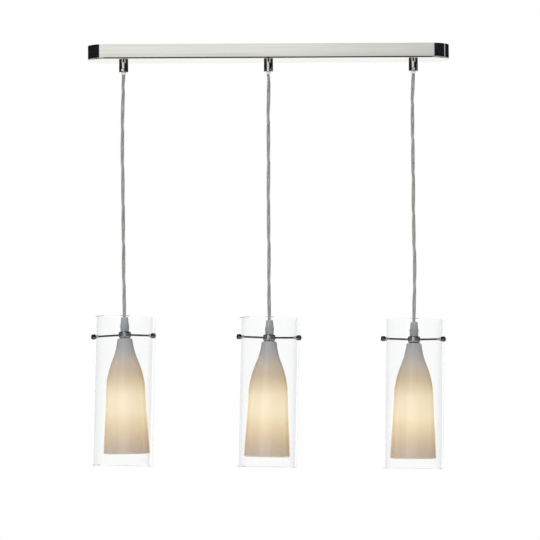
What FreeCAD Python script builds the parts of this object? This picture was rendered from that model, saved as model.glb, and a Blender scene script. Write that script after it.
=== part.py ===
import FreeCAD, Part
import math
import os

import Sketcher
from FreeCAD import Placement, Rotation, Vector

# A three-light bar pendant. The origin is the middle of the ceiling plane, +X runs along the bar
# to the right as seen from the front, -Y points at the viewer and +Z is up.

SIDES = ("left", "centre", "right")

# Driving sizes in millimetres and degrees.
SIZES = {
    # ceiling bar: a pan with half-round ends
    "bar_length": 600, "bar_depth": 60, "bar_height": 24.5, "bar_wall": 1.2, "bar_edge": 2.5,
    "pendant_pitch": 240,
    # strap behind the bar
    "strap_length": 540, "strap_width": 32, "strap_thick": 1.5,
    "slot_spacing": 400, "slot_width": 5.5, "slot_length": 20,
    "entry_radius": 11, "entry_place": 52,
    "ear_place": 150, "ear_width": 14, "ear_drop": 15, "ear_gap": 0.2, "cover_screw_depth": 9,
    # machine screws of the cover and the earth post
    "screw_radius": 2, "screw_length": 8, "screw_head_radius": 3.5, "screw_head": 2.2,
    "earth_place": -60, "earth_length": 12, "earth_nut_width": 7, "earth_nut_height": 3.2,
    # terminal block
    "block_place": 100, "block_pole_pitch": 9, "block_depth": 16, "block_height": 12,
    "block_front": 2, "pole_slot_width": 2.8, "pole_slot_height": 8.4,
    "clamp_screw_radius": 1.6, "clamp_screw_length": 2.6,
    # cord grips under the bar
    "grip_radius": 7.75, "grip_height": 19, "grip_edge": 0.8, "grip_thread": 8,
    "insert_radius": 4, "insert_tip": 2, "throat_radius": 3.3, "throat_edge": 0.35,
    "side_screw_rise": 3.5, "side_screw_radius": 1.5, "side_screw_head_radius": 2.8,
    "side_screw_head": 1.6,
    # threaded tubes, nuts and washers (plain cylinders stand for the threads)
    "nipple_radius": 5, "nipple_bore": 3.5, "thread_gap": 0.05,
    "nut_width": 14, "nut_height": 3, "washer_radius": 9, "washer_thick": 1, "nut_rise": 1.3,
    # cord and the leads inside the bar
    "cord_radius": 3, "core_radius": 0.9, "core_bend": 4.5, "core_offset": 1.1,
    "lead_gap": 1.8, "lead_top_rise": 0.6, "core_level": 4.5, "core_level_pitch": 2.5,
    "lane_front": 10, "lane_pitch": 4, "lane_run": 25, "core_reach": 3,
    # height of each arm plane below the ceiling, and how each pendant hangs
    "arm_plane_left": 478.5, "arm_plane_centre": 484.5, "arm_plane_right": 488.5,
    "hang_shift_left": 1, "hang_shift_centre": 0, "hang_shift_right": -2,
    "lean_left": -0.85, "lean_centre": 1.4, "lean_right": 0.9,
    "cylinder_lean_left": 2.2, "cylinder_lean_centre": 0, "cylinder_lean_right": 0,
    "arm_droop_left": 4, "arm_droop_centre": 0.5, "arm_droop_right": 0.3,
    "spider_turn_left": 2, "spider_turn_centre": 1, "spider_turn_right": 5,
    "side_screw_turn_left": -9, "side_screw_turn_centre": 41, "side_screw_turn_right": 0,
    # cord clamp: a body with a spigot, and a cap screwed over it
    "clamp_body_height": 11.75, "clamp_base_radius": 6.95, "clamp_shoulder_radius": 7.6,
    "clamp_spigot_radius": 4.9, "clamp_spigot": 4, "clamp_cap_height": 12,
    "clamp_cap_base_radius": 6.75, "clamp_cap_radius": 5.85, "clamp_cap_edge": 0.5,
    # hub, arms, bushes and knobs
    "hub_radius": 10.5, "hub_height": 10.5, "hub_edge": 2.2, "arm_radius": 1.6, "arm_seat": 6.6,
    "arm_fit": 0.03, "bush_radius": 2.9, "bush_length": 2.8, "bush_gap": 0.65,
    "knob_radius": 4.4, "knob_length": 6.2, "knob_edge": 1.2, "knob_thread": 4.6,
    # clear glass cylinder
    "cylinder_radius": 50, "cylinder_wall": 3, "cylinder_rise": 33, "cylinder_drop": 212,
    "cylinder_edge": 1.2, "cylinder_hole": 2.6,
    # opal glass shade
    "shade_washer": 0.75, "shade_washer_radius": 8.5, "shade_hole": 5.3, "shade_wall": 2.8,
    "shade_top_radius": 12.7, "shade_corner": 2.5, "shade_neck_radius": 13.7, "shade_neck": 9,
    "shade_waist_radius": 21, "shade_waist": 34, "shade_waist_bend": 105,
    "shade_shoulder_radius": 33.6, "shade_shoulder": 90, "shade_shoulder_bend": 160,
    "shade_mouth_radius": 38.8, "shade_length": 190, "shade_lip": 1.3,
    # lampholder
    "holder_gap": 0.2, "holder_top_radius": 8.4, "holder_cap": 10, "holder_cap_radius": 9.4,
    "holder_skirt_drop": 19, "holder_skirt_radius": 12.4, "holder_length": 47,
    "holder_thread": 9, "socket_floor": 16, "socket_radius": 7.2, "socket_mouth": 8,
    "socket_mouth_radius": 11.2, "shade_nipple_rise": 9,
    # lamp
    "lamp_seat": 0.5, "base_radius": 6.9, "base_length": 25, "base_pip": 2, "base_pip_radius": 2.2,
    "base_cone": 2.5, "lamp_neck_radius": 6.6, "lamp_radius": 17.5, "lamp_belly": 33,
    "lamp_length": 75, "lamp_shoulder_bend": 55.4, "lamp_tip_bend": 59.1, "lamp_wall": 0.9,
}

# Route of each cord, from the mouth of its grip down to its clamp: (x, y, z) points set by hand.
CORD_ROUTES = {
    "left": [(-240, 0, -45.5), (-241.2, 0.3, -79.5), (-242.1, 0.8, -123.5),
             (-242.5, 0.5, -173.5), (-241.6, -0.3, -223.5), (-241.1, -0.9, -273.5),
             (-240.6, -0.5, -323.5), (-240.5, 0.4, -371.5), (-239.8, 0.5, -412.5),
             (-239, 0, -449.5)],
    "centre": [(0, 0, -45.5), (0.3, -0.3, -77.5), (-1.0, -0.7, -123.5), (-0.4, -0.3, -173.5),
               (-0.9, 0.4, -223.5), (-1.2, 0.9, -273.5), (-0.7, 0.6, -323.5),
               (-0.5, -0.1, -372.5), (-1.3, -0.3, -415.5), (0, 0, -455.5)],
    "right": [(240, 0, -45.5), (239.1, 0.2, -69.5), (237.7, 0.5, -97.5), (238.2, 0.8, -133.5),
              (238.1, 0.2, -176.5), (238.7, -0.4, -225.5), (238.2, -0.8, -275.5),
              (238.8, -0.5, -319.5), (239.7, 0.1, -355.5), (239.7, 0.4, -390.5),
              (238.1, 0.3, -425.5), (238, 0, -459.5)],
}

doc = FreeCAD.newDocument("island_pendant")
sheet = doc.addObject("Spreadsheet::Sheet", "dims")
for row, (name, value) in enumerate(SIZES.items(), 1):
    sheet.set(f"A{row}", name)
    sheet.set(f"B{row}", str(value))
    sheet.setAlias(f"B{row}", name)
doc.recompute()


class Size(float):
    """A number that keeps the sheet expression it was worked out from."""

    def __new__(cls, value, text):
        size = super().__new__(cls, value)
        size.text = text
        return size

    def __add__(self, other):
        return joined(self, "+", other, float(self) + float(other))

    def __radd__(self, other):
        return joined(other, "+", self, float(other) + float(self))

    def __sub__(self, other):
        return joined(self, "-", other, float(self) - float(other))

    def __rsub__(self, other):
        return joined(other, "-", self, float(other) - float(self))

    def __mul__(self, other):
        return joined(self, "*", other, float(self) * float(other))

    def __rmul__(self, other):
        return joined(other, "*", self, float(other) * float(self))

    def __truediv__(self, other):
        return joined(self, "/", other, float(self) / float(other))

    def __neg__(self):
        return joined(0, "-", self, -float(self))


def text_of(number):
    return getattr(number, "text", repr(float(number)))


def joined(left, sign, right, value):
    return Size(value, f"({text_of(left)} {sign} {text_of(right)})")


size = {name: Size(sheet.get(name), "dims." + name) for name in SIZES}
nodes = []


def bind(thing, **properties):
    """Sets properties, each bound to the sheet where it comes from there."""
    for name, value in properties.items():
        setattr(thing, name, float(value))
        if isinstance(value, Size):
            thing.setExpression(name, value.text)


def keep(thing, label):
    """Makes a document object one of the part's nodes."""
    thing.Label = label
    nodes.append(thing)
    return thing


# ---- sketches -------------------------------------------------------------------------------

def new_sketch(body, role, name):
    plane = next(item for item in body.Origin.OriginFeatures if item.Role == role)
    sketch = body.newObject("Sketcher::SketchObject", name)
    sketch.AttachmentSupport = (plane, [""])
    sketch.MapMode = "FlatFace"
    return sketch


def arc_between(start, end, radius, side):
    """Arc from start to end; side 1 has its centre on the left of that way, -1 on the right."""
    chord = end - start
    half = chord.Length / 2
    across = Vector(-chord.y, chord.x, 0).normalize()
    reach = math.sqrt(max(float(radius) ** 2 - half ** 2, 0))
    centre = (start + end) * 0.5 + across * (side * reach)
    begin, finish = (start, end) if side > 0 else (end, start)
    first = math.atan2(begin.y - centre.y, begin.x - centre.x)
    last = math.atan2(finish.y - centre.y, finish.x - centre.x)
    if last <= first:
        last += 2 * math.pi
    circle = Part.Circle(centre, Vector(0, 0, 1), float(radius))
    return Part.ArcOfCircle(circle, first, last)


def fix_coordinate(sketch, geometry, point, value, axis):
    """Pins one coordinate of a point, on the axis line itself where it is nought."""
    kind, line = ("DistanceX", -2) if axis == "x" else ("DistanceY", -1)
    if float(value) == 0:
        sketch.addConstraint(Sketcher.Constraint("PointOnObject", geometry, point, line))
        return
    index = sketch.addConstraint(Sketcher.Constraint(kind, -1, 1, geometry, point, float(value)))
    if isinstance(value, Size):
        sketch.setExpression(f"Constraints[{index}]", value.text)


def draw(sketch, outline):
    """Closed outline of (x, y) points; a point (x, y, radius, side) has an arc leaving it."""
    count = len(outline)
    edges = []
    for index, point in enumerate(outline):
        start = Vector(point[0], point[1], 0)
        end = Vector(*outline[(index + 1) % count][:2], 0)
        if len(point) == 2:
            edges.append((sketch.addGeometry(Part.LineSegment(start, end), False), 1, 2))
        else:
            arc = arc_between(start, end, point[2], point[3])
            ends = (1, 2) if point[3] > 0 else (2, 1)
            edges.append((sketch.addGeometry(arc, False), *ends))
    for index, (geometry, begin, finish) in enumerate(edges):
        follower, follower_begin, _ = edges[(index + 1) % count]
        link = Sketcher.Constraint("Coincident", geometry, finish, follower, follower_begin)
        sketch.addConstraint(link)
        point = outline[index]
        fix_coordinate(sketch, geometry, begin, point[0], "x")
        fix_coordinate(sketch, geometry, begin, point[1], "y")
        if len(point) > 2:
            bend = sketch.addConstraint(Sketcher.Constraint("Radius", geometry, float(point[2])))
            if isinstance(point[2], Size):
                sketch.setExpression(f"Constraints[{bend}]", point[2].text)


def draw_circle(sketch, x, y, radius):
    circle = sketch.addGeometry(Part.Circle(Vector(x, y, 0), Vector(0, 0, 1), float(radius)), False)
    fix_coordinate(sketch, circle, 3, x, "x")
    fix_coordinate(sketch, circle, 3, y, "y")
    index = sketch.addConstraint(Sketcher.Constraint("Radius", circle, float(radius)))
    sketch.setExpression(f"Constraints[{index}]", radius.text)


def rectangle(left, right, low, high):
    return [(left, low), (right, low), (right, high), (left, high)]


def rounded_ring(inner, outer, low, high, edge):
    """Section of a ring whose outer corners are rounded."""
    return [(inner, low), (outer - edge, low, edge, 1), (outer, low + edge),
            (outer, high - edge, edge, 1), (outer - edge, high), (inner, high)]


# ---- solids ---------------------------------------------------------------------------------

def new_body(name, place=Placement()):
    body = doc.addObject("PartDesign::Body", name)
    body.Placement = place
    return body


def pad(body, role, name, outlines, length, down=True):
    sketch = new_sketch(body, role, name + "_sketch")
    for outline in outlines:
        draw(sketch, outline)
    feature = body.newObject("PartDesign::Pad", name)
    feature.Profile = sketch
    feature.Reversed = down
    bind(feature, Length=length)
    return feature


def pocket(body, role, name, outlines=(), circles=(), length=None, flip=False):
    sketch = new_sketch(body, role, name + "_sketch")
    for outline in outlines:
        draw(sketch, outline)
    for circle in circles:
        draw_circle(sketch, *circle)
    feature = body.newObject("PartDesign::Pocket", name)
    feature.Profile = sketch
    feature.Reversed = flip
    bind(feature, Length=length)
    return feature


def lathe(name, outline, place=Placement()):
    """A turned piece: the outline is (radius, height), about the piece's own Z axis."""
    body = new_body(name, place)
    sketch = new_sketch(body, "XZ_Plane", name + "_section")
    draw(sketch, outline)
    turn = body.newObject("PartDesign::Revolution", name + "_turn")
    turn.Profile = sketch
    turn.ReferenceAxis = (sketch, ["V_Axis"])
    turn.Angle = 360
    return body


def cylinder(name, radius, height, place=Placement()):
    thing = doc.addObject("Part::Cylinder", name)
    bind(thing, Radius=radius, Height=height)
    thing.Placement = place
    return thing


def hex_nut(name, width, height, bore, place):
    """A nut of the given width across its flats."""
    blank = doc.addObject("Part::Prism", name + "_blank")
    blank.Polygon = 6
    bind(blank, Circumradius=width / math.sqrt(3), Height=height)
    hole = cylinder(name + "_hole", bore, height)
    nut = cut(name, blank, hole)
    nut.Placement = place
    return nut


def cut(name, base, tool):
    thing = doc.addObject("Part::Cut", name)
    thing.Base = base
    thing.Tool = tool
    return thing


def group(name, things):
    """Several solids in one node."""
    thing = doc.addObject("Part::Compound", name)
    thing.Links = things
    return thing


def at(x=0, y=0, z=0, turn=Rotation()):
    return Placement(Vector(float(x), float(y), float(z)), turn)


def swept(path_points, bends, radius):
    """A round tube along straight runs joined by tangent arcs; bends are the arcs' radii."""
    edges = []
    here = path_points[0]
    for before, corner, after, bend in zip(path_points, path_points[1:], path_points[2:], bends):
        way_in = (corner - before).normalize()
        way_out = (after - corner).normalize()
        turn = way_in.getAngle(way_out)
        set_back = bend * math.tan(turn / 2)
        begin, end = corner - way_in * set_back, corner + way_out * set_back
        centre_way = (way_out - way_in).normalize()
        centre = corner + centre_way * (bend / math.cos(turn / 2))
        middle = centre - centre_way * bend
        edges.append(Part.LineSegment(here, begin).toShape())
        edges.append(Part.Arc(begin, middle, end).toShape())
        here = end
    edges.append(Part.LineSegment(here, path_points[-1]).toShape())
    path = Part.Wire(edges)
    start_way = path_points[1] - path_points[0]
    ring = Part.Wire(Part.makeCircle(float(radius), path_points[0], start_way))
    tube = path.makePipeShell([ring], True, False)
    wanted = math.pi * float(radius) ** 2 * path.Length
    if abs(tube.Volume / wanted - 1) > 0.001:
        raise RuntimeError("a swept tube does not have its section times its length")
    return tube, path.Length


# ---- ceiling bar ----------------------------------------------------------------------------

pendant_x = {"left": -size["pendant_pitch"], "centre": 0, "right": size["pendant_pitch"]}
bar_floor = -size["bar_height"] + size["bar_wall"]
grip_foot = -size["bar_height"] - size["grip_height"]
cord_mouth = grip_foot - size["insert_tip"]
nut_foot = bar_floor + size["washer_thick"]
nipple_top = nut_foot + size["nut_height"] + size["nut_rise"]
lead_top = nipple_top + size["lead_top_rise"]


def stadium(length, depth):
    """A bar seen from above, each half-round end as two quarter arcs."""
    half = depth / 2
    straight = length / 2 - half
    return [(-straight, -half), (straight, -half, half, 1), (length / 2, 0, half, 1),
            (straight, half), (-straight, half, half, 1), (-(length / 2), 0, half, 1)]


def bar_cover():
    body = new_body("bar_cover")
    wall = size["bar_wall"]
    outline = stadium(size["bar_length"], size["bar_depth"])
    block = pad(body, "XY_Plane", "bar_block", [outline], size["bar_height"])
    doc.recompute()
    foot = -float(size["bar_height"])
    rim = [f"Edge{index}" for index, edge in enumerate(block.Shape.Edges, 1)
           if abs(edge.BoundBox.ZMax - foot) < 0.001]
    rounding = body.newObject("PartDesign::Fillet", "bar_rounding")
    rounding.Base = (block, rim)
    bind(rounding, Radius=size["bar_edge"])
    inside = stadium(size["bar_length"] - 2 * wall, size["bar_depth"] - 2 * wall)
    pocket(body, "XY_Plane", "bar_hollow", [inside], length=size["bar_height"] - wall)
    holes = [(x, 0, size["nipple_radius"] + 2 * size["thread_gap"]) for x in pendant_x.values()]
    pocket(body, "XY_Plane", "bar_grip_holes", circles=holes, length=size["bar_height"])
    screw_hole = size["screw_radius"] + size["thread_gap"]
    holes = [(sign * size["ear_place"], -size["cover_screw_depth"], screw_hole) for sign in (-1, 1)]
    pocket(body, "XZ_Plane", "bar_screw_holes", circles=holes, length=size["bar_depth"] / 2)
    return body


def slot_outline(x):
    half = size["slot_width"] / 2
    run = size["slot_length"] / 2 - half
    return [(x - run, -half), (x + run, -half, half, 1), (x + run + half, 0, half, 1),
            (x + run, half), (x - run, half, half, 1), (x - run - half, 0, half, 1)]


def ceiling_bracket():
    """The strap, with four turned-down ears that hold the cover."""
    body = new_body("ceiling_bracket")
    half_width = size["strap_width"] / 2
    half_length = size["strap_length"] / 2
    reach = size["bar_depth"] / 2 - size["bar_wall"] - size["ear_gap"]
    half_ear = size["ear_width"] / 2
    strap = rectangle(-half_length, half_length, -half_width, half_width)
    pad(body, "XY_Plane", "strap", [strap], size["strap_thick"])
    tabs = [rectangle(sign * size["ear_place"] - half_ear, sign * size["ear_place"] + half_ear,
                      -reach, reach) for sign in (-1, 1)]
    pad(body, "XY_Plane", "strap_tabs", tabs, size["strap_thick"])
    ears = []
    for sign in (-1, 1):
        left = sign * size["ear_place"] - half_ear
        ears.append(rectangle(left, left + size["ear_width"], reach - size["strap_thick"], reach))
        ears.append(rectangle(left, left + size["ear_width"], -reach, size["strap_thick"] - reach))
    pad(body, "XY_Plane", "strap_ears", ears, size["ear_drop"])
    slots = [slot_outline(sign * size["slot_spacing"] / 2) for sign in (-1, 1)]
    entry = (size["entry_place"], 0, size["entry_radius"])
    post = (size["earth_place"], 0, size["screw_radius"] + size["thread_gap"])
    pocket(body, "XY_Plane", "strap_slots", slots, [entry, post], size["strap_thick"])
    screw_hole = size["screw_radius"] + size["thread_gap"]
    holes = [(sign * size["ear_place"], -size["cover_screw_depth"], screw_hole) for sign in (-1, 1)]
    pocket(body, "XZ_Plane", "ear_holes", circles=holes, length=size["bar_depth"] / 2)
    return body


def screw(name, head_radius, head, radius, length, place):
    """A screw standing on its shank: its head's underside is at nought, its shank goes down."""
    return lathe(name, [(0, -length), (radius, -length), (radius, 0), (head_radius, 0),
                        (head_radius, head / 2), (head_radius - head / 2, head), (0, head)], place)


def cover_screws():
    outward = Rotation(Vector(1, 0, 0), -90)
    screws = []
    for side, sign in (("left", -1), ("right", 1)):
        place = at(sign * size["ear_place"], size["bar_depth"] / 2, -size["cover_screw_depth"],
                   outward)
        screws.append(screw("cover_screw_" + side, size["screw_head_radius"], size["screw_head"],
                            size["screw_radius"], size["screw_length"], place))
    return group("cover_screw_pair", screws)


def earth_post():
    """A stud whose collar bears on the underside of the strap."""
    head = size["screw_head"]
    radius = size["screw_radius"]
    thick = size["strap_thick"]
    return lathe("earth_post", [
        (0, -size["earth_length"]), (radius, -size["earth_length"]), (radius, -thick - head),
        (size["screw_head_radius"], -thick - head), (size["screw_head_radius"], -thick),
        (radius, -thick), (radius, 0), (0, 0)], at(size["earth_place"], 0, 0))


def earth_nut():
    rise = -size["strap_thick"] - size["screw_head"] - size["earth_nut_height"]
    return hex_nut("earth_nut", size["earth_nut_width"], size["earth_nut_height"],
                   size["screw_radius"] + size["thread_gap"], at(size["earth_place"], 0, rise))


def pole_x(pole):
    return size["block_place"] + pole * size["block_pole_pitch"]


def block_middle():
    return -size["strap_thick"] - size["block_height"] / 2


def terminal_block():
    """Three poles side by side, each with a way for the wires from its front to its back."""
    body = new_body("terminal_block_blank")
    half_pole = size["block_pole_pitch"] / 2
    front = -size["block_front"]
    top = -size["strap_thick"]
    foot = top - size["block_height"]
    outline = rectangle(pole_x(-1) - half_pole, pole_x(1) + half_pole, foot, top)
    pad(body, "XZ_Plane", "block_blank", [outline], size["block_depth"])
    half_slot = size["pole_slot_width"] / 2
    low = block_middle() - size["pole_slot_height"] / 2
    slots = [rectangle(pole_x(pole) - half_slot, pole_x(pole) + half_slot,
                       low, low + size["pole_slot_height"]) for pole in (-1, 0, 1)]
    pocket(body, "XZ_Plane", "block_wire_ways", slots, length=size["block_depth"])
    body.Placement = at(0, front, 0)
    doc.recompute()
    if abs(body.Shape.BoundBox.YMin - float(front)) > 0.01:
        raise RuntimeError("the terminal block lies on the wrong side")
    holes = []
    for index, (pole, y) in enumerate(screw_places()):
        hole = cylinder(f"clamp_hole_{index}", size["clamp_screw_radius"] + size["thread_gap"],
                        size["clamp_screw_length"], at(pole_x(pole), y, foot))
        holes.append(hole)
    return cut("terminal_block_body", body, group("clamp_holes", holes))


def screw_places():
    """Pole and y place of each of the block's clamping screws."""
    front = -size["block_front"]
    quarter = size["block_depth"] / 4
    return [(pole, front + share * quarter) for pole in (-1, 0, 1) for share in (1, 3)]


def terminal_screws():
    foot = -size["strap_thick"] - size["block_height"]
    shanks = [cylinder(f"clamp_screw_{index}", size["clamp_screw_radius"],
                       size["clamp_screw_length"], at(pole_x(pole), y, foot))
              for index, (pole, y) in enumerate(screw_places())]
    return group("clamp_screw_set", shanks)


# ---- cord grips -----------------------------------------------------------------------------

def side_screw_frame(side):
    """Where a grip's side screw leaves the grip; its own Z points outward."""
    turn = Rotation(Vector(0, 0, 1), float(size["side_screw_turn_" + side]))
    outward = turn.multVec(Vector(0, -1, 0))
    rise = grip_foot + size["side_screw_rise"]
    middle = Vector(float(pendant_x[side]), 0, float(rise))
    return Placement(middle + outward * float(size["grip_radius"]),
                     turn.multiply(Rotation(Vector(1, 0, 0), 90)))


def grip(side):
    """Turned chrome body: thread above, plain bore below, and a side hole for its screw."""
    edge = size["grip_edge"]
    outer, height = size["grip_radius"], size["grip_height"]
    thread = size["nipple_radius"] + size["thread_gap"]
    bore = size["insert_radius"] + size["thread_gap"]
    step = height - size["grip_thread"]
    blank = lathe(f"grip_{side}_blank", [
        (bore, 0), (outer - edge, 0, edge, 1), (outer, edge), (outer, height), (thread, height),
        (thread, step), (bore, step)], at(pendant_x[side], 0, grip_foot))
    hole = cylinder(f"grip_{side}_hole", size["side_screw_radius"] + size["thread_gap"],
                    size["grip_radius"])
    frame = side_screw_frame(side)
    hole.Placement = frame.multiply(at(0, 0, -size["grip_radius"]))
    return cut(f"grip_{side}_body", blank, hole)


def cord_insert(side):
    """Plastic sleeve in the grip, with a small chamfer at its mouth."""
    top = size["grip_height"] + size["insert_tip"] - size["grip_thread"] - size["thread_gap"]
    throat, edge = size["throat_radius"], size["throat_edge"]
    return lathe(f"cord_insert_{side}", [
        (throat + edge, 0), (size["insert_radius"], 0), (size["insert_radius"], top),
        (throat, top), (throat, edge)], at(pendant_x[side], 0, cord_mouth))


def grip_screw(side):
    length = size["grip_radius"] - size["insert_radius"] - size["thread_gap"]
    frame = side_screw_frame(side).multiply(at(0, 0, size["thread_gap"]))
    return screw(f"grip_screw_{side}", size["side_screw_head_radius"], size["side_screw_head"],
                 size["side_screw_radius"], length, frame)


def tube(name, outer, inner, height, place):
    return lathe(name, rectangle(inner, outer, 0, height), place)


def grip_nipple(side):
    foot = -size["bar_height"] - size["grip_thread"] + size["thread_gap"] * 2
    return tube(f"grip_nipple_{side}", size["nipple_radius"], size["nipple_bore"],
                nipple_top - foot, at(pendant_x[side], 0, foot))


def grip_washer(side):
    return tube(f"grip_washer_{side}", size["washer_radius"],
                size["nipple_radius"] + size["thread_gap"], size["washer_thick"],
                at(pendant_x[side], 0, bar_floor))


def grip_nut(side):
    return hex_nut(f"grip_nut_{side}", size["nut_width"], size["nut_height"],
                   size["nipple_radius"] + size["thread_gap"], at(pendant_x[side], 0, nut_foot))


def bar_lead(side, level_index):
    """End of the cord inside the grip, and its two cores on to the terminal block."""
    x = float(pendant_x[side])
    foot = float(cord_mouth + size["lead_gap"])
    top = float(lead_top)
    sheath = Part.makeCylinder(float(size["cord_radius"]), top - foot, Vector(x, 0, foot))
    level = -float(size["core_level"] + level_index * size["core_level_pitch"])
    way = 1 if x < float(size["block_place"]) else -1
    solids = [sheath]
    for lane, pole in enumerate((-1, 0) if way > 0 else (0, -1)):
        y = float(size["core_offset"]) * (1 - 2 * lane)
        lane_y = -float(size["lane_front"] + lane * size["lane_pitch"])
        end_x = float(pole_x(pole))
        points = [Vector(x, y, top), Vector(x, y, level),
                  Vector(x + way * float(size["lane_run"]), lane_y, level),
                  Vector(end_x, lane_y, level),
                  Vector(end_x, float(size["core_reach"] - size["block_front"]), level)]
        core, _ = swept(points, [float(size["core_bend"])] * (len(points) - 2),
                        size["core_radius"])
        solids.append(core)
    lead = doc.addObject("Part::Feature", f"bar_lead_{side}_solids")
    lead.Shape = Part.makeCompound(solids)
    return lead


def hanging_cord(side):
    """The free cord: arcs as large as their runs allow."""
    points = [Vector(*point) for point in CORD_ROUTES[side]]
    bends = []
    for before, corner, after in zip(points, points[1:], points[2:]):
        turn = (corner - before).getAngle(after - corner)
        shorter = min((corner - before).Length, (after - corner).Length)
        bends.append(0.45 * shorter / math.tan(turn / 2))
    shape, length = swept(points, bends, size["cord_radius"])
    print(f"cord_{side}: length {length:.1f} mm, arc radii", [round(bend) for bend in bends])
    cord = doc.addObject("Part::Feature", f"cord_{side}_tube")
    cord.Shape = shape
    return cord


# ---- pendants -------------------------------------------------------------------------------

hub_top = size["hub_height"] / 2
clamp_step = hub_top + size["clamp_body_height"]
clamp_top = clamp_step + size["clamp_cap_height"]
shade_top = -hub_top - size["shade_washer"]


def pendant_frame(side):
    """Frame of one pendant's hub, leaning about the mouth of its cord clamp."""
    lean = Rotation(Vector(0, 1, 0), float(size["lean_" + side]))
    x = pendant_x[side] + size["hang_shift_" + side]
    pivot = Vector(float(x), 0, float(clamp_top - size["arm_plane_" + side]))
    return Placement(pivot, lean).multiply(at(0, 0, -clamp_top))


def arm_frames(side):
    """One frame for each of the three arms; its own Z runs out along the arm from the hub."""
    frames = []
    for third in range(3):
        bearing = -30 - 120 * third - float(size["spider_turn_" + side])
        turn = Rotation(Vector(0, 0, 1), bearing)
        outward = Rotation(Vector(0, 1, 0), 90 + float(size["arm_droop_" + side]))
        local = Placement(Vector(0, 0, 0), turn.multiply(outward))
        frames.append(pendant_frame(side).multiply(local))
    return frames


knob_foot = size["cylinder_radius"] + size["bush_gap"] + size["bush_length"]
arm_end = knob_foot + size["knob_thread"]


def clamp_body(side):
    thread = size["nipple_radius"] + size["thread_gap"]
    spigot = size["clamp_spigot_radius"]
    inner = size["throat_radius"]
    return lathe(f"clamp_body_{side}", [
        (thread, hub_top), (size["clamp_base_radius"], hub_top),
        (size["clamp_shoulder_radius"], clamp_step), (spigot, clamp_step),
        (spigot, clamp_step + size["clamp_spigot"]), (inner, clamp_step + size["clamp_spigot"]),
        (inner, hub_top + size["shade_nipple_rise"]),
        (thread, hub_top + size["shade_nipple_rise"])], pendant_frame(side))


def clamp_cap(side):
    cup = size["clamp_spigot_radius"] + size["thread_gap"]
    cup_top = clamp_step + size["clamp_spigot"] + size["thread_gap"]
    throat, mouth = size["throat_radius"], size["throat_edge"]
    edge, top = size["clamp_cap_edge"], size["clamp_cap_radius"]
    return lathe(f"clamp_cap_{side}", [
        (cup, clamp_step), (size["clamp_cap_base_radius"], clamp_step),
        (top, clamp_top - edge), (top - edge, clamp_top), (throat + mouth, clamp_top),
        (throat, clamp_top - mouth), (throat, cup_top), (cup, cup_top)], pendant_frame(side))


def hub(side):
    thread = size["nipple_radius"] + size["thread_gap"]
    blank = lathe(f"hub_{side}_blank",
                  rounded_ring(thread, size["hub_radius"], -hub_top, hub_top, size["hub_edge"]),
                  pendant_frame(side))
    holes = []
    for index, frame in enumerate(arm_frames(side)):
        place = frame.multiply(at(0, 0, size["arm_seat"] - size["arm_fit"]))
        holes.append(cylinder(f"hub_{side}_hole_{index}", size["arm_radius"] + size["arm_fit"],
                              size["hub_radius"], place))
    return cut(f"hub_{side}_body", blank, group(f"hub_{side}_holes", holes))


def arms(side):
    rods = [cylinder(f"arm_{side}_{index}", size["arm_radius"], arm_end - size["arm_seat"],
                     frame.multiply(at(0, 0, size["arm_seat"])))
            for index, frame in enumerate(arm_frames(side))]
    return group(f"arm_{side}_set", rods)


def bushes(side):
    bore = size["arm_radius"] + size["arm_fit"]
    rings = [tube(f"bush_{side}_{index}", size["bush_radius"], bore, size["bush_length"],
                  frame.multiply(at(0, 0, size["cylinder_radius"] + size["bush_gap"])))
             for index, frame in enumerate(arm_frames(side))]
    return group(f"bush_{side}_set", rings)


def knobs(side):
    """Round nuts with a blind thread, screwed on the ends of the arms."""
    bore = size["arm_radius"] + size["arm_fit"]
    depth = size["knob_thread"] + size["arm_fit"]
    radius, length, edge = size["knob_radius"], size["knob_length"], size["knob_edge"]
    outline = [(bore, 0), (radius - edge, 0, edge, 1), (radius, edge),
               (radius, length - edge, edge, 1), (radius - edge, length), (0, length),
               (0, depth), (bore, depth)]
    turned = [lathe(f"knob_{side}_{index}", outline, frame.multiply(at(0, 0, knob_foot)))
              for index, frame in enumerate(arm_frames(side))]
    return group(f"knob_{side}_set", turned)


def glass_cylinder(side):
    """Open glass tube with fire-polished rims, hung from the arms by a hole for each."""
    outer, inner = size["cylinder_radius"], size["cylinder_radius"] - size["cylinder_wall"]
    low, high, edge = -size["cylinder_drop"], size["cylinder_rise"], size["cylinder_edge"]
    lean = Rotation(Vector(0, 1, 0), float(size["cylinder_lean_" + side]))
    sag = math.sin(math.radians(float(size["arm_droop_" + side]))) * float(outer)
    frame = pendant_frame(side).multiply(Placement(Vector(0, 0, -sag), lean))
    blank = lathe(f"glass_cylinder_{side}_blank", [
        (inner + edge, low), (outer - edge, low, edge, 1), (outer, low + edge),
        (outer, high - edge, edge, 1), (outer - edge, high), (inner + edge, high, edge, 1),
        (inner, high - edge), (inner, low + edge, edge, 1)], frame)
    holes = [cylinder(f"glass_{side}_hole_{index}", size["cylinder_hole"],
                      4 * size["cylinder_wall"],
                      arm.multiply(at(0, 0, inner - size["cylinder_wall"])))
             for index, arm in enumerate(arm_frames(side))]
    return cut(f"glass_cylinder_{side}_body", blank, group(f"glass_{side}_holes", holes))


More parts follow.
